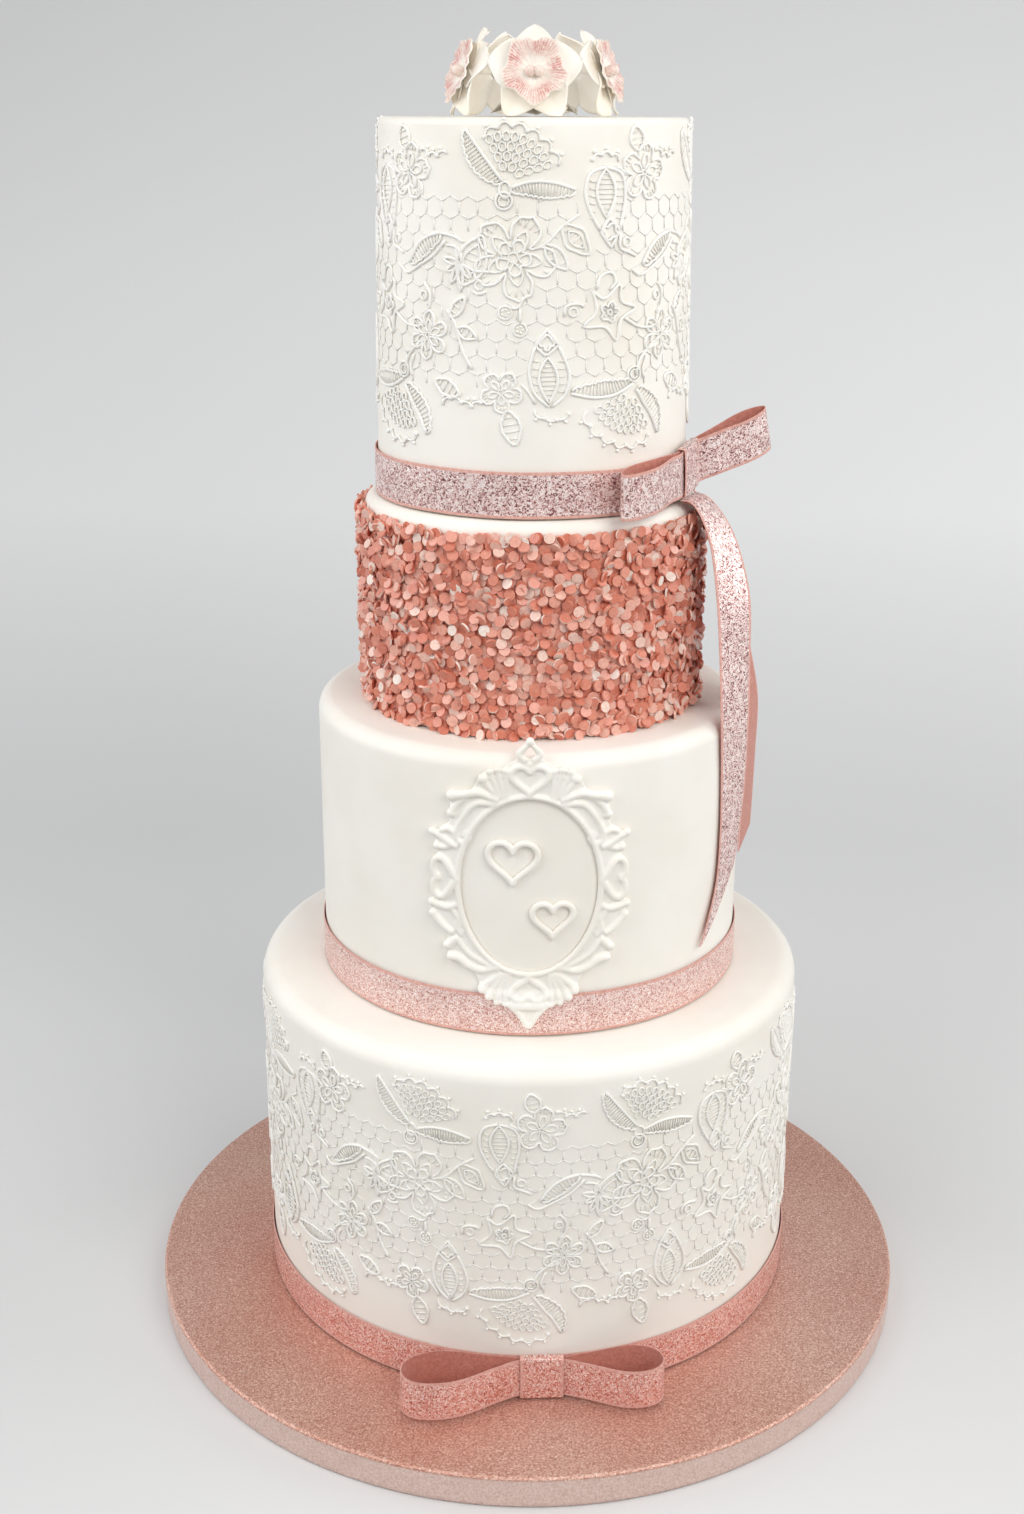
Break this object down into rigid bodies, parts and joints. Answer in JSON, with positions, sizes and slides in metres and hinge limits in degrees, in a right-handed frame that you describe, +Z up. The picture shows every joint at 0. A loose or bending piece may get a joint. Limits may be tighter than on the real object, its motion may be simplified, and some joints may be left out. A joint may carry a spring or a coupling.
{
  "type": "tiered wedding cake",
  "caption": "Tall tiered wedding cake on a round foil drum, with sugar lace, glitter ribbons and bows, a sequin tier, a moulded oval frame and sugar orchids on top.",
  "frame": {"origin": "centre of the drum's flat underside", "axes": "+Z up through the tiers, the front with the oval frame and the low bow faces -Y, +X to the right seen from the front"},
  "size_m": [0.293, 0.293, 0.4709],
  "materials": {
    "foil": "embossed rose-gold foil over board, satin metallic",
    "fondant": "smooth ivory sugar paste, satin",
    "lace": "raised ivory sugar lace, satin",
    "ribbon": "rose-gold glitter ribbon with picot edges",
    "ribbon_back": "matte peach ribbon reverse",
    "sequins": "pearlescent salmon sugar sequins",
    "moulded_sugar": "moulded ivory sugar, satin",
    "petal": "matte ivory sugar petal",
    "orchid_lip": "matte dusty-pink brushed sugar"
  },
  "bodies": {
    "root": {"cake_drum": "foil", "front_bow_knot": "ribbon", "front_bow_loop_left": "ribbon", "front_bow_loop_right": "ribbon", "lace_bottom": "lace", "lace_top": "lace", "orchid_back_left_lip": "orchid_lip", "orchid_back_left_petals": "petal", "orchid_back_right_lip": "orchid_lip", "orchid_back_right_petals": "petal", "orchid_front_lip": "orchid_lip", "orchid_front_petals": "petal", "orchid_left_lip": "orchid_lip", "orchid_left_petals": "petal", "orchid_middle_lip": "orchid_lip", "orchid_middle_petals": "petal", "orchid_right_lip": "orchid_lip", "orchid_right_petals": "petal", "plaque_frame": "moulded_sugar", "plaque_heart_lower": "moulded_sugar", "plaque_heart_upper": "moulded_sugar", "ribbon_bottom": "ribbon", "ribbon_lower": "ribbon", "ribbon_top": "ribbon", "sequin_coat": "sequins", "side_bow_knot": "ribbon", "side_bow_loop_left": "ribbon", "side_bow_loop_right": "ribbon", "side_bow_tail_back": "ribbon_back", "side_bow_tail_front": "ribbon", "tier_bottom": "fondant", "tier_lower": "fondant", "tier_sequin": "fondant", "tier_top": "fondant"}
  },
  "joints": []
}
